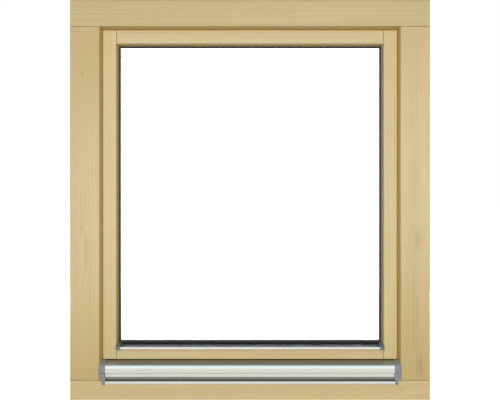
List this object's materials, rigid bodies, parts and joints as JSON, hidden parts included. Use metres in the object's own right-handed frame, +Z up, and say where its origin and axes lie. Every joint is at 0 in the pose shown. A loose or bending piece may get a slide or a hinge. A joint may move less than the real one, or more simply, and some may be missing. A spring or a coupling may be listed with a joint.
{
  "type": "wooden window",
  "caption": "Timber casement window with an inward-opening double-glazed sash, aluminium rain bar, sash drip bar, handle and hinges.",
  "frame": {"origin": "centre of the frame's bottom face", "axes": "+Z up, +Y from outside to inside, +X along the width, to the right seen from outside"},
  "size_m": [0.88, 0.1517, 0.985],
  "materials": {
    "frame_timber": "clear-glazed pine with a faint straight grain and a silk sheen",
    "sash_timber": "clear-glazed pine with a faint straight grain and a silk sheen",
    "bead_timber": "clear-glazed pine with a faint straight grain and a silk sheen",
    "clear_glass": "clear float glass",
    "spacer_metal": "matt rolled aluminium",
    "black_gasket": "smooth matt black seal",
    "silver_extrusion": "natural anodised aluminium with fine drawing lines",
    "grey_cap": "smooth grey moulded plastic",
    "dark_cap": "smooth dark grey moulded plastic",
    "handle_metal": "satin anodised aluminium",
    "hinge_steel": "satin silver steel"
  },
  "bodies": {
    "root": {"frame_head": "frame_timber", "frame_jamb_left": "frame_timber", "frame_jamb_right": "frame_timber", "frame_bottom_rail": "frame_timber", "sash_top_rail": "sash_timber", "sash_bottom_rail": "sash_timber", "sash_stile_left": "sash_timber", "sash_stile_right": "sash_timber", "glazing_bead_top": "bead_timber", "glazing_bead_bottom": "bead_timber", "glazing_bead_left": "bead_timber", "glazing_bead_right": "bead_timber", "glass_pane_outer": "clear_glass", "glass_pane_inner": "clear_glass", "glass_spacer_bar": "spacer_metal", "glazing_gasket_outer": "black_gasket", "glazing_gasket_inner": "black_gasket", "sash_weather_gasket": "black_gasket", "rain_bar_gasket": "black_gasket", "rain_bar": "silver_extrusion", "sash_drip_bar": "silver_extrusion", "rain_bar_cap_left": "grey_cap", "rain_bar_cap_right": "grey_cap", "sash_drip_cap_left": "dark_cap", "sash_drip_cap_right": "dark_cap", "handle_rose": "handle_metal", "handle_lever": "handle_metal", "lower_hinge_frame_part": "hinge_steel", "lower_hinge_sash_part": "hinge_steel", "upper_hinge_frame_part": "hinge_steel", "upper_hinge_sash_part": "hinge_steel"}
  },
  "joints": []
}
